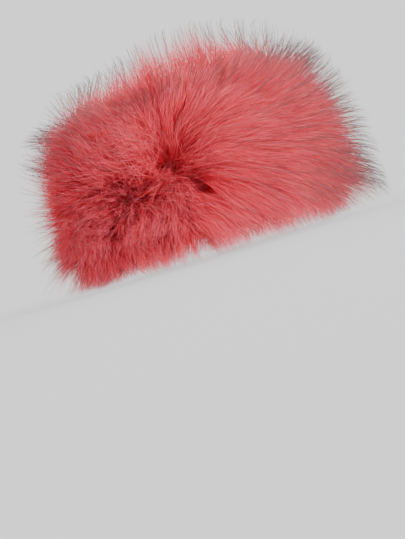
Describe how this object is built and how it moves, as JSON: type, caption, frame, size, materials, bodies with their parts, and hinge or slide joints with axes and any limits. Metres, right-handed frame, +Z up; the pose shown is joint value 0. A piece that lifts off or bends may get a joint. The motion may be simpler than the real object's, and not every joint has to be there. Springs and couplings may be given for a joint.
{
  "type": "faux fur headband",
  "caption": "Long-pile faux fur headband: a lined oval ring that closes in towards the top, worn over the ears, with a wide elastic inside the back that lets it stretch.",
  "frame": {"origin": "on the ground in the middle of the ring, which stands on its lower edge", "axes": "+Z up along the ring's axis, -Y towards the forehead, -X towards the wearer's right ear"},
  "size_m": [0.2286, 0.2686, 0.162],
  "materials": {
    "pile": "long coral acrylic pile, pink tips, fine dark guard hairs",
    "backing": "knitted base of the pile fabric, matte",
    "wadding": "white non-woven wadding",
    "lining": "brushed stretch fleece",
    "elastic": "woven elastic, ribbed lengthways",
    "thread": "spun polyester sewing thread",
    "label": "blank satin tape"
  },
  "bodies": {
    "front_band": {"front_fur_pile": "pile", "front_fur_backing": "backing", "front_interlining": "wadding", "front_lining": "lining", "front_upper_hem_stitch": "thread", "front_lower_hem_stitch": "thread", "left_side_seam_thread": "thread", "right_side_seam_thread": "thread", "left_lining_seam_stitch": "thread", "right_lining_seam_stitch": "thread"},
    "elastic_back": {"back_fur_pile": "pile", "back_fur_backing": "backing", "back_lining": "lining", "back_upper_hem_stitch": "thread", "back_lower_hem_stitch": "thread", "elastic": "elastic", "elastic_casing": "lining", "casing_upper_stitch": "thread", "casing_lower_stitch": "thread", "left_elastic_end_stitch": "thread", "right_elastic_end_stitch": "thread", "care_label": "label", "care_label_stitch": "thread"}
  },
  "joints": [
    {"name": "back_stretch", "type": "slide", "parent": "front_band", "child": "elastic_back", "axis": [0, 1, 0], "range_m": [0, 0.02], "stiffness_N_per_m": 400}
  ]
}
